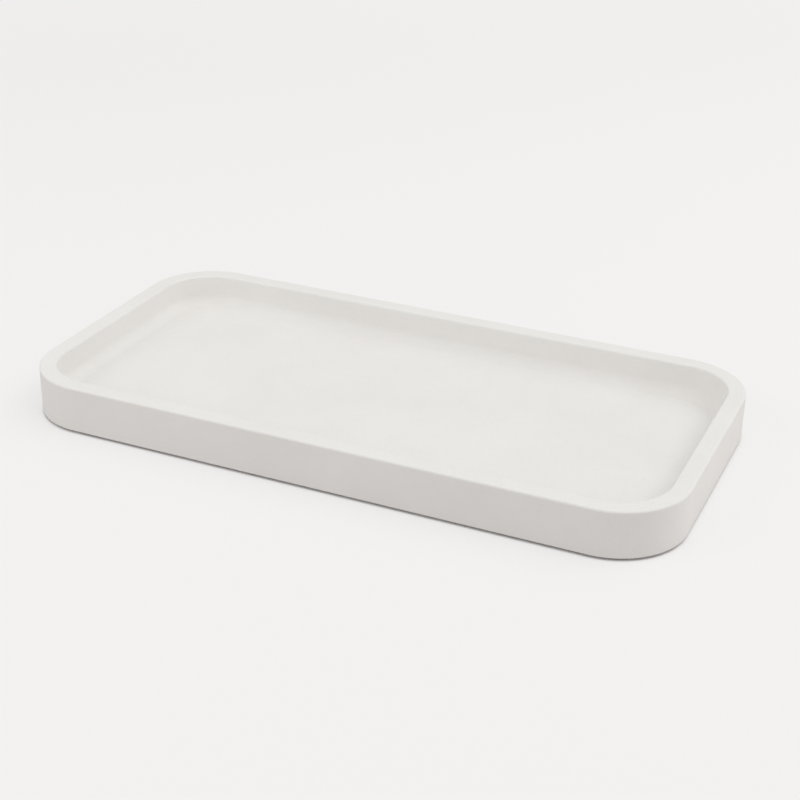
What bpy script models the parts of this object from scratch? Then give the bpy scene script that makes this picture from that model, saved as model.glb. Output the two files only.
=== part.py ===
"""Shallow cast tray with a rounded-rectangle outline, standing on four thin anti-slip pads.

The casting is one closed skin, lofted through level outlines: out along the underside, up the
outer wall, over the flat rim, down the drafted well wall and through a cove to the flat floor
of the well. The pads are turned discs, set in from the corners and bonded to the underside.

Lengths are in metres and +Z is up. The origin is the middle of the tray, on the surface that
the pads stand on, with the long sides along X.
"""

import math

import bmesh
import bpy

# Casting, seen from above.
TRAY_LENGTH = 0.300
TRAY_WIDTH = 0.150
CORNER_RADIUS = 0.0315
RIM_WIDTH = 0.008

# Casting, in section.
TRAY_HEIGHT = 0.021
FLOOR_THICKNESS = 0.006
COVE_RADIUS = 0.0055
RIM_EDGE_RADIUS = 0.001
BASE_EDGE_RADIUS = 0.0004
WELL_DRAFT = math.radians(2.0)

# Anti-slip pads. The inset is from each side of the casting to a pad's centre.
PAD_DIAMETER = 0.012
PAD_THICKNESS = 0.0008
PAD_EDGE_RADIUS = 0.0003
PAD_INSET = 0.024
BOND_GAP = 0.0003

# Facets of the round stretches, and the angle from which an edge is shaded sharp.
CORNER_STEPS = 24
EDGE_STEPS = 4
COVE_STEPS = 8
PAD_SIDES = 40
SHARP_EDGE = math.radians(40.0)

# Heights of the casting's level faces.
UNDERSIDE_Z = PAD_THICKNESS + BOND_GAP
WELL_FLOOR_Z = UNDERSIDE_Z + FLOOR_THICKNESS
RIM_Z = UNDERSIDE_Z + TRAY_HEIGHT

QUARTER_TURN = math.pi / 2
HALF_TURN = math.pi


def clear_scene():
    """Removes every object, so that the scene holds the tray alone."""
    for item in list(bpy.data.objects):
        bpy.data.objects.remove(item, do_unlink=True)


def plain_material(name, colour, roughness):
    """A non-metallic material with one colour and one roughness."""
    material = bpy.data.materials.new(name)
    material.use_nodes = True
    shader = material.node_tree.nodes["Principled BSDF"]
    shader.inputs["Base Color"].default_value = (*colour, 1.0)
    shader.inputs["Roughness"].default_value = roughness
    shader.inputs["Metallic"].default_value = 0.0
    return material


def cast_mineral():
    """Matte off-white casting compound."""
    return plain_material("cast_mineral", (0.79, 0.77, 0.74), 0.8)


def pad_rubber():
    """Pale grey anti-slip rubber."""
    return plain_material("pad_rubber", (0.55, 0.54, 0.52), 0.7)


def arc(centre, radius, start, end, steps):
    """Points of an arc about centre, from the angle start to the angle end, ends included."""
    angles = (start + (end - start) * step / steps for step in range(steps + 1))
    return [(centre[0] + radius * math.cos(a), centre[1] + radius * math.sin(a)) for a in angles]


def rounded_outline(inset, height):
    """Level outline of the casting, drawn in by inset from its side walls, anticlockwise."""
    reach_x = TRAY_LENGTH / 2 - CORNER_RADIUS
    reach_y = TRAY_WIDTH / 2 - CORNER_RADIUS
    outline = []
    for corner, (side_x, side_y) in enumerate(((1, 1), (-1, 1), (-1, -1), (1, -1))):
        centre = (side_x * reach_x, side_y * reach_y)
        start = corner * QUARTER_TURN
        bend = arc(centre, CORNER_RADIUS - inset, start, start + QUARTER_TURN, CORNER_STEPS)
        outline.extend((x, y, height) for x, y in bend)
    return outline


def circle_outline(radius, height):
    """Level circle about the origin, anticlockwise."""
    angles = (2 * HALF_TURN * side / PAD_SIDES for side in range(PAD_SIDES))
    return [(radius * math.cos(a), radius * math.sin(a), height) for a in angles]


def casting_section():
    """Section of the casting from underside to well floor, as (across, height).

    Across is zero at the upright outer wall and negative inside it.
    """
    rim_round_z = RIM_Z - RIM_EDGE_RADIUS
    base_round = arc(
        (-BASE_EDGE_RADIUS, UNDERSIDE_Z + BASE_EDGE_RADIUS),
        BASE_EDGE_RADIUS,
        -QUARTER_TURN,
        0,
        EDGE_STEPS,
    )
    outer_rim_round = arc(
        (-RIM_EDGE_RADIUS, rim_round_z),
        RIM_EDGE_RADIUS,
        0,
        QUARTER_TURN,
        EDGE_STEPS,
    )
    inner_rim_round = arc(
        (RIM_EDGE_RADIUS - RIM_WIDTH, rim_round_z),
        RIM_EDGE_RADIUS,
        QUARTER_TURN,
        HALF_TURN - WELL_DRAFT,
        EDGE_STEPS,
    )
    wall_head, wall_head_z = inner_rim_round[-1]
    cove_centre_z = WELL_FLOOR_Z + COVE_RADIUS
    wall_foot_z = cove_centre_z - COVE_RADIUS * math.sin(WELL_DRAFT)
    wall_foot = wall_head - (wall_head_z - wall_foot_z) * math.tan(WELL_DRAFT)
    cove = arc(
        (wall_foot - COVE_RADIUS * math.cos(WELL_DRAFT), cove_centre_z),
        COVE_RADIUS,
        -WELL_DRAFT,
        -QUARTER_TURN,
        COVE_STEPS,
    )
    return base_round + outer_rim_round + inner_rim_round + cove


def pad_section():
    """Section of a pad from its lower face to its bonded upper face, as (radius, height)."""
    lower_round = arc(
        (PAD_DIAMETER / 2 - PAD_EDGE_RADIUS, PAD_EDGE_RADIUS),
        PAD_EDGE_RADIUS,
        -QUARTER_TURN,
        0,
        EDGE_STEPS,
    )
    return lower_round + [(PAD_DIAMETER / 2, PAD_THICKNESS)]


def loft(name, outlines):
    """Closed mesh through level outlines of equal count, capped by the first and the last."""
    body = bmesh.new()
    rings = [[body.verts.new(point) for point in outline] for outline in outlines]
    for ring, next_ring in zip(rings, rings[1:]):
        for index, corner in enumerate(ring):
            after = (index + 1) % len(ring)
            body.faces.new((corner, ring[after], next_ring[after], next_ring[index]))
    body.faces.new(reversed(rings[0]))
    body.faces.new(rings[-1])
    mesh = bpy.data.meshes.new(name)
    body.to_mesh(mesh)
    body.free()
    mesh.shade_smooth()
    mesh.set_sharp_from_angle(angle=SHARP_EDGE)
    return mesh


def place(name, mesh, location=(0, 0, 0)):
    """Adds an object for the mesh to the scene."""
    item = bpy.data.objects.new(name, mesh)
    item.location = location
    bpy.context.scene.collection.objects.link(item)


def add_tray_body():
    """The casting: underside, outer wall, rim and well in one skin."""
    outlines = [rounded_outline(-across, height) for across, height in casting_section()]
    mesh = loft("tray_body", outlines)
    mesh.materials.append(cast_mineral())
    place("tray_body", mesh)


def add_foot_pads():
    """Four equal pads near the corners, sharing one mesh."""
    mesh = loft("foot_pad", [circle_outline(radius, height) for radius, height in pad_section()])
    mesh.materials.append(pad_rubber())
    reach_x = TRAY_LENGTH / 2 - PAD_INSET
    reach_y = TRAY_WIDTH / 2 - PAD_INSET
    for depth_name, side_y in (("front", -1), ("back", 1)):
        for hand_name, side_x in (("left", -1), ("right", 1)):
            location = (side_x * reach_x, side_y * reach_y, 0)
            place(f"foot_pad_{depth_name}_{hand_name}", mesh, location)


clear_scene()
add_tray_body()
add_foot_pads()
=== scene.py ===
"""Looks of the cast tray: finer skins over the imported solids, materials and a plain pale stage."""
import math

import bmesh
import bpy
from mathutils import Matrix, Vector


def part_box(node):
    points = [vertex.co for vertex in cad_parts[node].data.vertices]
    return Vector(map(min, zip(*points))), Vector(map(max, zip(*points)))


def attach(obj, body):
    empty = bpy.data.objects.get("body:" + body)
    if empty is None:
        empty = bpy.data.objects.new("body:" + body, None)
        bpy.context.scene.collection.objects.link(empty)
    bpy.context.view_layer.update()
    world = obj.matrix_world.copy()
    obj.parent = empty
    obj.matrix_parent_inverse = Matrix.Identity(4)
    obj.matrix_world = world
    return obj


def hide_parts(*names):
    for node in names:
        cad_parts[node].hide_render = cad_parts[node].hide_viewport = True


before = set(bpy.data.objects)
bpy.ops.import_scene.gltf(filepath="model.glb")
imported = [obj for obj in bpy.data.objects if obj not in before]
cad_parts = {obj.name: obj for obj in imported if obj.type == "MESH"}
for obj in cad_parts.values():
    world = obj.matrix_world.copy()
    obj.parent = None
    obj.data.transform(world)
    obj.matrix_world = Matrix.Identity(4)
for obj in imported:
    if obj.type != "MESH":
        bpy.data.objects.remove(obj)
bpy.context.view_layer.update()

QUARTER_TURN = math.pi / 2
HALF_TURN = math.pi
FULL_TURN = 2 * math.pi

# Casting. Its length, width and heights come from the frame.
CASTING_LOW, CASTING_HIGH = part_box("tray_body")
CORNER_RADIUS = 0.0315
RIM_WIDTH = 0.008
FLOOR_THICKNESS = 0.006
COVE_RADIUS = 0.0055
RIM_EDGE_RADIUS = 0.001
BASE_EDGE_RADIUS = 0.0004
WELL_DRAFT = math.radians(2.0)
CORNER_STEPS = 40
EDGE_STEPS = 6
COVE_STEPS = 14

# Pads and the adhesive that holds them. Their places and sizes come from the frame.
PAD_NODES = (
    "foot_pad_front_left",
    "foot_pad_front_right",
    "foot_pad_back_left",
    "foot_pad_back_right",
)
PAD_EDGE_RADIUS = 0.0003
PAD_SIDES = 72
BOND_SETBACK = 0.0004

# Shading turns sharp where two faces meet at more than this.
SHARP_ANGLE = math.radians(40)

# Materials. A noise is its scale in features to the metre, its detail and its roughness.
# Bump depths are in metres.
NOISE_BAND = (0.35, 0.65)
WIDE_NOISE_BAND = (0.3, 0.7)

# Casting compound.
CLOUD_NOISE = (26, 6, 0.62)
CLOUD_TONES = ((0.822, 0.803, 0.774, 1), (0.854, 0.840, 0.818, 1))
GRAIN_NOISE = (2200, 2)
GRAIN_TONES = ((0.798, 0.778, 0.749, 1), (0.878, 0.865, 0.843, 1))
GRAIN_SHARE = 0.35
GRAIN_DEPTH = 0.00005
WAVE_NOISE = (60, 2)
WAVE_DEPTH = 0.00006
WEAR_NOISE = (150, 4, 0.6)
RUBBED_BAND = (0.40, 0.62)
RUBBED_SHARE = 0.2
RUBBED_TONE = (0.872, 0.862, 0.845, 1)
RUBBED_POLISH = 0.16
HOLE_SCALE = 200
HOLE_EDGE = (0.022, 0.040)
HOLE_DEPTH = 0.00010
# Colour inside the pinholes: painted shade, darker than the compound, over their bump.
PAINTED_HOLE_SHADE = (0.640, 0.615, 0.580, 1)
CASTING_ROUGHNESS = (0.74, 0.90)
CASTING_SPECULAR = 0.3

# Pads and adhesive.
PAD_TONE_NOISE = (700, 3)
PAD_TONES = ((0.53, 0.52, 0.50, 1), (0.57, 0.56, 0.54, 1))
PAD_ROUGHNESS_NOISE = (1500, 2)
PAD_ROUGHNESS = (0.62, 0.78)
PEBBLE_SCALE = 2500
PEBBLE_DEPTH = 0.00004
BOND_TONE_NOISE = (900, 3)
BOND_TONES = ((0.66, 0.64, 0.58, 1), (0.74, 0.72, 0.67, 1))
BOND_ROUGHNESS_NOISE = (1200, 2)
BOND_ROUGHNESS = (0.40, 0.60)

# Camera, seen from the middle of the tray. Offsets are along its own right and up.
CAMERA_AZIMUTH = math.radians(23.7514)
CAMERA_ELEVATION = math.radians(26.4303)
CAMERA_ROLL = math.radians(1.0062)
CAMERA_DISTANCE = 0.7172181
CAMERA_RIGHT = 0.0049586
CAMERA_UP = 0.0068647
CAMERA_FOCUS_PIXELS = 1584.4951
CAMERA_CLIP = (0.01, 100)
IMAGE_PIXELS = 800
SENSOR_WIDTH = 36.0

# Floor. The card's fades run out from the middle of the tray, the others from its outline.
FLOOR_REACH = 8.0
FLOOR_SEEN = (0.975, 0.965, 0.958, 1.0)
FLOOR_LIT_BY = (0.620, 0.589, 0.581, 1.0)
FLOOR_ROUGHNESS = 0.9
FLOOR_SPECULAR = 0.2
CARD_LIT_BY = (0.830, 0.808, 0.798, 1.0)
CARD_FADE_X = (0.150, 0.170)
CARD_FADE_Y = (0.055, 0.085)
FLOOR_TONE = (0.884, 0.874, 0.871, 1.0)
FLOOR_TONE_SHARE = 0.6
GAP_FADE = (-0.0004, 0.0006)
FAR_FADE = (0.45, 1.0)

# Light: the surround's strength, and the lamps as name, azimuth, elevation, distance, width,
# level and whether the casting alone is lit.
WORLD_LEVEL = 0.606
LAMPS = (
    ("right_top_box", 90, 65, 4.5, 3.6, 0.205, False),
    ("right_box", 90, 35, 1.1, 0.7, 0.033, False),
    ("front_left_box", -135, 35, 1.1, 0.7, 0.140, False),
    ("front_left_near_box", -155, 30, 0.65, 0.35, 0.062, True),
    ("back_right_box", 45, 45, 1.1, 0.7, 0.112, False),
    ("right_low_box", 90, 8, 0.55, 0.25, 0.045, True),
)


def arc(centre, radius, start, end, steps):
    """Points of an arc about centre, from the angle start to the angle end, ends included."""
    angles = (start + (end - start) * step / steps for step in range(steps + 1))
    return [(centre[0] + radius * math.cos(a), centre[1] + radius * math.sin(a)) for a in angles]


def circle_outline(centre, radius, height, sides):
    """Level circle, anticlockwise."""
    angles = (FULL_TURN * side / sides for side in range(sides))
    return [
        (centre[0] + radius * math.cos(a), centre[1] + radius * math.sin(a), height)
        for a in angles
    ]


def rounded_outline(inset, height):
    """Level outline of the casting, drawn in by inset from its side walls, anticlockwise."""
    reach_x = CASTING_HIGH.x - CORNER_RADIUS
    reach_y = CASTING_HIGH.y - CORNER_RADIUS
    outline = []
    for corner, (side_x, side_y) in enumerate(((1, 1), (-1, 1), (-1, -1), (1, -1))):
        centre = (side_x * reach_x, side_y * reach_y)
        start = corner * QUARTER_TURN
        bend = arc(centre, CORNER_RADIUS - inset, start, start + QUARTER_TURN, CORNER_STEPS)
        outline.extend((x, y, height) for x, y in bend)
    return outline


def casting_section():
    """Section of the casting from underside to well floor, as (across, height)."""
    underside, rim = CASTING_LOW.z, CASTING_HIGH.z
    well_floor = underside + FLOOR_THICKNESS
    rim_round_z = rim - RIM_EDGE_RADIUS
    base_centre = (-BASE_EDGE_RADIUS, underside + BASE_EDGE_RADIUS)
    base_round = arc(base_centre, BASE_EDGE_RADIUS, -QUARTER_TURN, 0, EDGE_STEPS)
    outer_centre = (-RIM_EDGE_RADIUS, rim_round_z)
    outer_round = arc(outer_centre, RIM_EDGE_RADIUS, 0, QUARTER_TURN, EDGE_STEPS)
    inner_centre = (RIM_EDGE_RADIUS - RIM_WIDTH, rim_round_z)
    inner_end = HALF_TURN - WELL_DRAFT
    inner_round = arc(inner_centre, RIM_EDGE_RADIUS, QUARTER_TURN, inner_end, EDGE_STEPS)
    wall_head, wall_head_z = inner_round[-1]
    wall_foot_z = well_floor + COVE_RADIUS * (1 - math.sin(WELL_DRAFT))
    wall_foot = wall_head - (wall_head_z - wall_foot_z) * math.tan(WELL_DRAFT)
    cove_centre = (wall_foot - COVE_RADIUS * math.cos(WELL_DRAFT), well_floor + COVE_RADIUS)
    cove = arc(cove_centre, COVE_RADIUS, -WELL_DRAFT, -QUARTER_TURN, COVE_STEPS)
    return base_round + outer_round + inner_round + cove


def loft(name, outlines):
    """Object with a closed mesh through level outlines of equal count, capped at both ends."""
    body = bmesh.new()
    rings = [[body.verts.new(point) for point in outline] for outline in outlines]
    for ring, next_ring in zip(rings, rings[1:]):
        for index, corner in enumerate(ring):
            after = (index + 1) % len(ring)
            body.faces.new((corner, ring[after], next_ring[after], next_ring[index]))
    body.faces.new(reversed(rings[0]))
    body.faces.new(rings[-1])
    mesh = bpy.data.meshes.new(name)
    body.to_mesh(mesh)
    body.free()
    mesh.shade_smooth()
    mesh.set_sharp_from_angle(angle=SHARP_ANGLE)
    item = bpy.data.objects.new(name, mesh)
    bpy.context.scene.collection.objects.link(item)
    flats = item.modifiers.new("flats_stay_flat", "WEIGHTED_NORMAL")
    flats.keep_sharp = True
    return item


def finish_piece(item, material, nodes=()):
    """Gives a piece its material and slot, rides it on the part, and hides what it stands for."""
    item.data.materials.append(material)
    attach(item, "root")
    if nodes:
        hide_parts(*nodes)


def new_material(name):
    """A node material, as (material, nodes, links, shader)."""
    material = bpy.data.materials.new(name)
    material.use_nodes = True
    tree = material.node_tree
    return material, tree.nodes, tree.links, tree.nodes["Principled BSDF"]


def object_place(nodes):
    """Place on the piece, in the shared frame."""
    return nodes.new("ShaderNodeTexCoord").outputs["Object"]


def place_axes(nodes, links):
    """The same place as three outputs, X, Y and Z."""
    axes = nodes.new("ShaderNodeSeparateXYZ")
    links.new(object_place(nodes), axes.inputs["Vector"])
    return axes.outputs


def noise(nodes, links, place, scale, detail, roughness=0.5):
    """Noise of about 0..1."""
    node = nodes.new("ShaderNodeTexNoise")
    node.inputs["Scale"].default_value = scale
    node.inputs["Detail"].default_value = detail
    node.inputs["Roughness"].default_value = roughness
    links.new(place, node.inputs["Vector"])
    return node.outputs["Fac"]


def ranged(nodes, links, value, low, high, to_low, to_high):
    """Value spread from low..high onto to_low..to_high."""
    node = nodes.new("ShaderNodeMapRange")
    ends = (("From Min", low), ("From Max", high), ("To Min", to_low), ("To Max", to_high))
    for name, number in ends:
        node.inputs[name].default_value = number
    links.new(value, node.inputs["Value"])
    return node.outputs["Result"]


def blended(nodes, links, factor, first, second):
    """Colour between two colours, each a tuple or a socket; the factor is a number or a socket."""
    node = nodes.new("ShaderNodeMix")
    node.data_type = "RGBA"
    if isinstance(factor, float):
        node.inputs["Factor"].default_value = factor
    else:
        links.new(factor, node.inputs["Factor"])
    for socket, colour in ((node.inputs[6], first), (node.inputs[7], second)):
        if isinstance(colour, tuple):
            socket.default_value = colour
        else:
            links.new(colour, socket)
    return node.outputs[2]


def bumped(nodes, links, height, depth, below=None):
    """Normal from a height of 0..1 times depth, in metres, over another bump's normal."""
    node = nodes.new("ShaderNodeBump")
    node.inputs["Strength"].default_value = 1.0
    node.inputs["Distance"].default_value = depth
    links.new(height, node.inputs["Height"])
    if below is not None:
        links.new(below, node.inputs["Normal"])
    return node.outputs["Normal"]


def calculated(nodes, links, operation, first, second):
    """Result of an operation on two values, each a number or a socket."""
    node = nodes.new("ShaderNodeMath")
    node.operation = operation
    for socket, value in zip(node.inputs, (first, second)):
        if isinstance(value, (int, float)):
            socket.default_value = value
        else:
            links.new(value, socket)
    return node.outputs["Value"]


def beyond_tray(nodes, links):
    """Distance outside the tray's outline, seen from above, in metres."""
    place = place_axes(nodes, links)
    squares = []
    for axis, reach in (("X", CASTING_HIGH.x), ("Y", CASTING_HIGH.y)):
        across = calculated(nodes, links, "ABSOLUTE", place[axis], 0)
        past_bend = calculated(nodes, links, "SUBTRACT", across, reach - CORNER_RADIUS)
        outward = calculated(nodes, links, "MAXIMUM", past_bend, 0)
        squares.append(calculated(nodes, links, "POWER", outward, 2))
    from_bend = calculated(nodes, links, "SQRT", calculated(nodes, links, "ADD", *squares), 0)
    return calculated(nodes, links, "SUBTRACT", from_bend, CORNER_RADIUS)


def rim_edges(nodes, links):
    """One along the rim's two rounded edges, and zero elsewhere."""
    round_foot = CASTING_HIGH.z - RIM_EDGE_RADIUS
    fade = 0.5 * RIM_EDGE_RADIUS
    height = place_axes(nodes, links)["Z"]
    high = ranged(nodes, links, height, round_foot - fade, round_foot, 0, 1)
    beyond = beyond_tray(nodes, links)
    edges = []
    for inset in (0, RIM_WIDTH):
        past_edge = calculated(nodes, links, "ADD", beyond, inset)
        off_edge = calculated(nodes, links, "ABSOLUTE", past_edge, 0)
        edges.append(ranged(nodes, links, off_edge, fade, RIM_EDGE_RADIUS + fade, 1, 0))
    return calculated(nodes, links, "MULTIPLY", high, calculated(nodes, links, "MAXIMUM", *edges))


def spots(nodes, links, place, scale):
    """Distance from the nearest of many scattered points, in the size of a cell."""
    node = nodes.new("ShaderNodeTexVoronoi")
    node.inputs["Scale"].default_value = scale
    links.new(place, node.inputs["Vector"])
    return node.outputs["Distance"]


def cast_mineral():
    """Matte off-white casting compound: clouding, sandy grain, pinholes darkened by painted shade,
    rubbed rim edges.
    """
    material, nodes, links, shader = new_material("cast_mineral")
    place = object_place(nodes)
    cloud = noise(nodes, links, place, *CLOUD_NOISE)
    clouded = blended(nodes, links, ranged(nodes, links, cloud, *NOISE_BAND, 0, 1), *CLOUD_TONES)
    grain = noise(nodes, links, place, *GRAIN_NOISE)
    speckled = blended(nodes, links, ranged(nodes, links, grain, *NOISE_BAND, 0, 1), *GRAIN_TONES)
    grained = blended(nodes, links, GRAIN_SHARE, clouded, speckled)
    wear = noise(nodes, links, place, *WEAR_NOISE)
    patches = ranged(nodes, links, wear, *RUBBED_BAND, 0, RUBBED_SHARE)
    rubbed = calculated(nodes, links, "MULTIPLY", rim_edges(nodes, links), patches)
    worn = blended(nodes, links, rubbed, grained, RUBBED_TONE)
    # Pinholes: their bump is real, and the darker colour inside them is painted shade.
    solid = ranged(nodes, links, spots(nodes, links, place, HOLE_SCALE), *HOLE_EDGE, 0, 1)
    links.new(blended(nodes, links, solid, PAINTED_HOLE_SHADE, worn), shader.inputs["Base Color"])
    matte = ranged(nodes, links, wear, *WIDE_NOISE_BAND, *CASTING_ROUGHNESS)
    polish = calculated(nodes, links, "MULTIPLY", rubbed, RUBBED_POLISH)
    links.new(calculated(nodes, links, "SUBTRACT", matte, polish), shader.inputs["Roughness"])
    shader.inputs["Specular IOR Level"].default_value = CASTING_SPECULAR
    waves = bumped(nodes, links, noise(nodes, links, place, *WAVE_NOISE), WAVE_DEPTH)
    sandy = bumped(nodes, links, grain, GRAIN_DEPTH, waves)
    links.new(bumped(nodes, links, solid, HOLE_DEPTH, sandy), shader.inputs["Normal"])
    return material


def toned_and_rough(nodes, links, shader, tone_noise, tones, roughness_noise, roughness):
    """Gives a shader two tones mingled by one noise, and a roughness spread by another."""
    place = object_place(nodes)
    tone = noise(nodes, links, place, *tone_noise)
    colour = blended(nodes, links, ranged(nodes, links, tone, *NOISE_BAND, 0, 1), *tones)
    links.new(colour, shader.inputs["Base Color"])
    rough = noise(nodes, links, place, *roughness_noise)
    links.new(ranged(nodes, links, rough, *WIDE_NOISE_BAND, *roughness), shader.inputs["Roughness"])


def pad_rubber():
    """Pale grey anti-slip rubber with a fine pebbled face."""
    material, nodes, links, shader = new_material("pad_rubber")
    toned_and_rough(
        nodes, links, shader, PAD_TONE_NOISE, PAD_TONES, PAD_ROUGHNESS_NOISE, PAD_ROUGHNESS
    )
    pebbles = spots(nodes, links, object_place(nodes), PEBBLE_SCALE)
    links.new(bumped(nodes, links, pebbles, PEBBLE_DEPTH), shader.inputs["Normal"])
    return material


def bond_film():
    """Cloudy white adhesive film between a pad and the casting."""
    material, nodes, links, shader = new_material("bond_film")
    toned_and_rough(
        nodes, links, shader, BOND_TONE_NOISE, BOND_TONES, BOND_ROUGHNESS_NOISE, BOND_ROUGHNESS
    )
    return material


def add_casting():
    """The cast tray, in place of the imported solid."""
    outlines = [rounded_outline(-across, height) for across, height in casting_section()]
    item = loft("casting_skin", outlines)
    finish_piece(item, cast_mineral(), ["tray_body"])
    return item


def add_pads():
    """The four pads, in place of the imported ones, and the adhesive over each."""
    rubber = pad_rubber()
    film = bond_film()
    for node in PAD_NODES:
        low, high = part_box(node)
        centre = (low + high) / 2
        radius = (high.x - low.x) / 2
        round_centre = (radius - PAD_EDGE_RADIUS, low.z + PAD_EDGE_RADIUS)
        section = arc(round_centre, PAD_EDGE_RADIUS, -QUARTER_TURN, 0, EDGE_STEPS)
        section.append((radius, high.z))
        outlines = [circle_outline(centre, across, height, PAD_SIDES) for across, height in section]
        pad = loft(node.replace("foot_pad", "pad_skin"), outlines)
        finish_piece(pad, rubber, [node])
        film_radius = radius - BOND_SETBACK
        film_outlines = [
            circle_outline(centre, film_radius, height, PAD_SIDES)
            for height in (high.z, CASTING_LOW.z)
        ]
        bond = loft(node.replace("foot_pad", "pad_bond"), film_outlines)
        finish_piece(bond, film)


def mix_shaders(nodes, links, factor, first, second, output):
    """Feeds an output from two shaders."""
    mixed = nodes.new("ShaderNodeMixShader")
    links.new(factor, mixed.inputs["Fac"])
    links.new(first, mixed.inputs[1])
    links.new(second, mixed.inputs[2])
    links.new(mixed.outputs["Shader"], output)


def seen_rays(nodes, links):
    """One where a ray comes from the camera, a gloss or a clear surface, and zero elsewhere."""
    rays = nodes.new("ShaderNodeLightPath").outputs
    seen = rays["Is Camera Ray"]
    for other in ("Is Glossy Ray", "Is Transmission Ray"):
        seen = calculated(nodes, links, "MAXIMUM", seen, rays[other])
    return seen


def card_area(nodes, links):
    """One on the floor right of the tray, fading to zero round that patch."""
    place = place_axes(nodes, links)
    past_right = ranged(nodes, links, place["X"], *CARD_FADE_X, 0, 1)
    across = calculated(nodes, links, "ABSOLUTE", place["Y"], 0)
    level_with_tray = ranged(nodes, links, across, *CARD_FADE_Y, 1, 0)
    return calculated(nodes, links, "MULTIPLY", past_right, level_with_tray)


def floor_material():
    """Pale floor: one tone for the light it throws back, a paler, more even one where it is seen.

    Right of the tray it throws back more, as a white card does, which lights the right wall
    from below. The even share fades out under the tray, so that the gap there stays dark, and
    it grows to the whole far away, so that the floor runs into the backdrop.
    """
    material, nodes, links, shader = new_material("floor")
    seen = seen_rays(nodes, links)
    lit_by = blended(nodes, links, card_area(nodes, links), FLOOR_LIT_BY, CARD_LIT_BY)
    links.new(blended(nodes, links, seen, lit_by, FLOOR_SEEN), shader.inputs["Base Color"])
    shader.inputs["Roughness"].default_value = FLOOR_ROUGHNESS
    shader.inputs["Specular IOR Level"].default_value = FLOOR_SPECULAR
    tone = nodes.new("ShaderNodeEmission")
    tone.inputs["Color"].default_value = FLOOR_TONE
    beyond = beyond_tray(nodes, links)
    beside = ranged(nodes, links, beyond, *GAP_FADE, 0, 1)
    even = ranged(nodes, links, beyond, *FAR_FADE, FLOOR_TONE_SHARE, 1)
    share = calculated(nodes, links, "MULTIPLY", beside, even)
    seen_share = calculated(nodes, links, "MULTIPLY", share, seen)
    surface = nodes["Material Output"].inputs["Surface"]
    mix_shaders(nodes, links, seen_share, shader.outputs["BSDF"], tone.outputs["Emission"], surface)
    material.cycles.emission_sampling = "NONE"
    return material


def add_floor():
    """Level floor at the height that the pads stand on."""
    mesh = bpy.data.meshes.new("floor")
    reach = FLOOR_REACH
    corners = [(-reach, -reach, 0), (reach, -reach, 0), (reach, reach, 0), (-reach, reach, 0)]
    mesh.from_pydata(corners, [], [(0, 1, 2, 3)])
    mesh.materials.append(floor_material())
    floor = bpy.data.objects.new("floor", mesh)
    bpy.context.scene.collection.objects.link(floor)


def add_world(strength):
    """Even white light from all round, seen as a backdrop in the floor's tone."""
    world = bpy.data.worlds.new("tent")
    bpy.context.scene.world = world
    world.use_nodes = True
    nodes, links = world.node_tree.nodes, world.node_tree.links
    light = nodes["Background"]
    light.inputs["Color"].default_value = (1, 1, 1, 1)
    light.inputs["Strength"].default_value = strength
    backdrop = nodes.new("ShaderNodeBackground")
    backdrop.inputs["Color"].default_value = FLOOR_TONE
    lit, shown = light.outputs["Background"], backdrop.outputs["Background"]
    surface = nodes["World Output"].inputs["Surface"]
    mix_shaders(nodes, links, seen_rays(nodes, links), lit, shown, surface)


def add_lamp(name, azimuth, elevation, distance, width, level, lit_alone=None):
    """Round soft box aimed at the tray. Azimuth is from +Y towards +X; level is its share of white.

    Where lit_alone is given, the lamp lights only that piece, and leaves no pool on the floor.
    """
    around, above = math.radians(azimuth), math.radians(elevation)
    level_reach = math.cos(above)
    outward = Vector(
        (math.sin(around) * level_reach, math.cos(around) * level_reach, math.sin(above))
    )
    lamp = bpy.data.lights.new(name, "AREA")
    lamp.shape = "DISK"
    lamp.size = width
    lamp.energy = level * math.pi ** 2 * distance ** 2
    item = bpy.data.objects.new(name, lamp)
    item.location = outward * distance
    item.rotation_euler = outward.to_track_quat("Z", "Y").to_euler()
    bpy.context.scene.collection.objects.link(item)
    if lit_alone is not None:
        receivers = bpy.data.collections.new(name + "_lights")
        receivers.objects.link(lit_alone)
        item.light_linking.receiver_collection = receivers


def add_camera():
    """Camera at the photograph's viewpoint."""
    az, el, roll = CAMERA_AZIMUTH, CAMERA_ELEVATION, CAMERA_ROLL
    back = Vector((math.sin(az) * math.cos(el), -math.cos(az) * math.cos(el), math.sin(el)))
    level_right = Vector((math.cos(az), math.sin(az), 0))
    level_up = back.cross(level_right)
    right = level_right * math.cos(roll) + level_up * math.sin(roll)
    up = level_up * math.cos(roll) - level_right * math.sin(roll)
    place = back * CAMERA_DISTANCE + level_right * CAMERA_RIGHT + level_up * CAMERA_UP
    place.z += CASTING_LOW.z
    data = bpy.data.cameras.new("camera")
    data.sensor_width = SENSOR_WIDTH
    data.lens = CAMERA_FOCUS_PIXELS / IMAGE_PIXELS * SENSOR_WIDTH
    data.clip_start, data.clip_end = CAMERA_CLIP
    camera = bpy.data.objects.new("camera", data)
    turned = Matrix((right, up, back)).transposed().to_4x4()
    camera.matrix_world = Matrix.Translation(place) @ turned
    bpy.context.scene.collection.objects.link(camera)
    bpy.context.scene.camera = camera


casting = add_casting()
add_pads()
add_floor()
add_world(WORLD_LEVEL)
for *setting, casting_alone in LAMPS:
    add_lamp(*setting, casting if casting_alone else None)
add_camera()
bpy.context.scene.view_settings.view_transform = "Standard"
